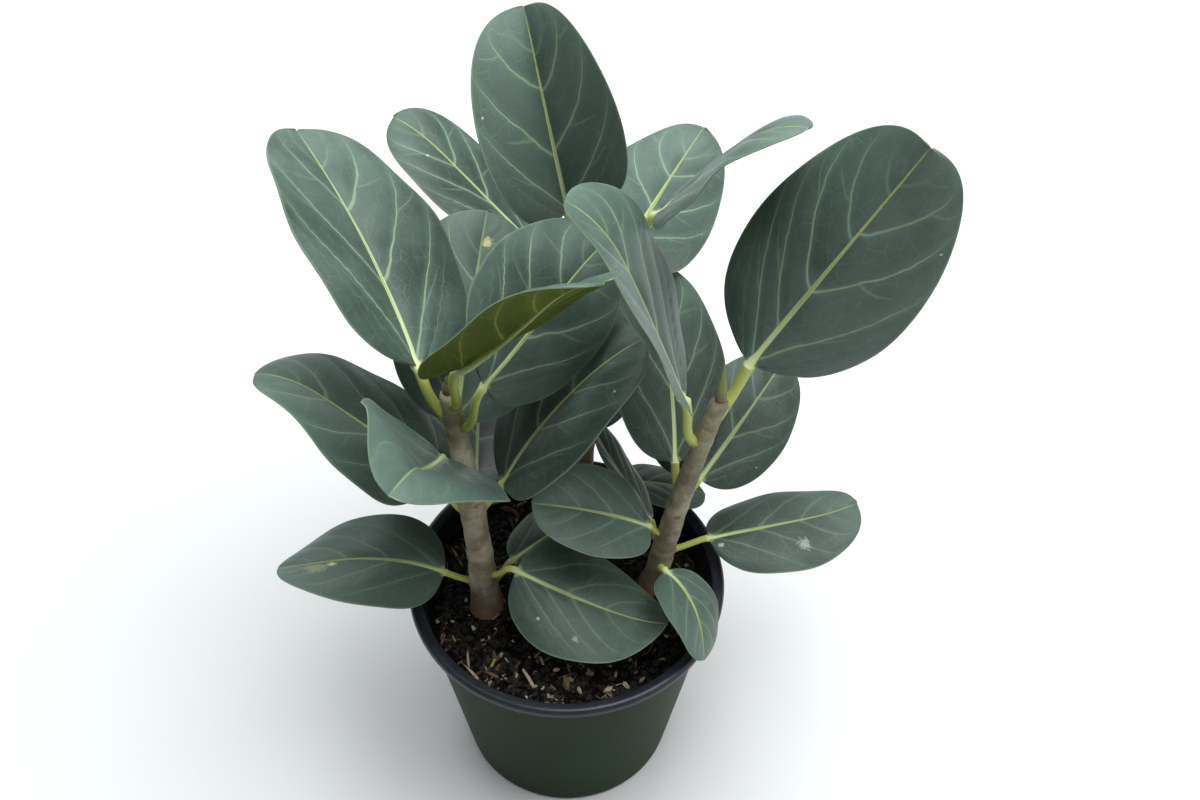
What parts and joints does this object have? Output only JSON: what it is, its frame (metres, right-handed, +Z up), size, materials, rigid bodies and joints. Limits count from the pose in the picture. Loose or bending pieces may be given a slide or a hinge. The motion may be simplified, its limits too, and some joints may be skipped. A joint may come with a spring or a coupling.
{
  "type": "potted ficus",
  "caption": "Young broad-leaved ficus: leaning stems with large blunt oval leaves on short stalks, growing in a round tapered nursery pot filled with soil.",
  "frame": {"origin": "centre of the pot's flat underside, which is also the level that the pot stands on", "axes": "+Z up, out of the soil; -Y towards the viewer of the picture; +X to that viewer's right"},
  "size_m": [0.3062, 0.284, 0.4038],
  "materials": {
    "pot_plastic": "satin dark green with a near-black rim",
    "soil": "moist crumbly potting mix",
    "bark": "smooth grey-brown bark with leaf scars",
    "leaf_green": "low sheen grey-green with pale veins"
  },
  "bodies": {
    "root": {"back_leaf_1": "leaf_green", "back_leaf_2": "leaf_green", "back_leaf_3": "leaf_green", "back_leaf_4": "leaf_green", "back_leaf_5": "leaf_green", "back_leaf_6": "leaf_green", "back_leaf_7": "leaf_green", "back_leaf_8": "leaf_green", "back_stem": "bark", "left_leaf_1": "leaf_green", "left_leaf_10": "leaf_green", "left_leaf_11": "leaf_green", "left_leaf_12": "leaf_green", "left_leaf_2": "leaf_green", "left_leaf_3": "leaf_green", "left_leaf_4": "leaf_green", "left_leaf_5": "leaf_green", "left_leaf_6": "leaf_green", "left_leaf_7": "leaf_green", "left_leaf_8": "leaf_green", "left_leaf_9": "leaf_green", "left_stem": "bark", "pot": "pot_plastic", "right_leaf_1": "leaf_green", "right_leaf_10": "leaf_green", "right_leaf_2": "leaf_green", "right_leaf_3": "leaf_green", "right_leaf_4": "leaf_green", "right_leaf_5": "leaf_green", "right_leaf_6": "leaf_green", "right_leaf_7": "leaf_green", "right_leaf_8": "leaf_green", "right_leaf_9": "leaf_green", "right_stem": "bark", "soil": "soil"}
  },
  "joints": []
}
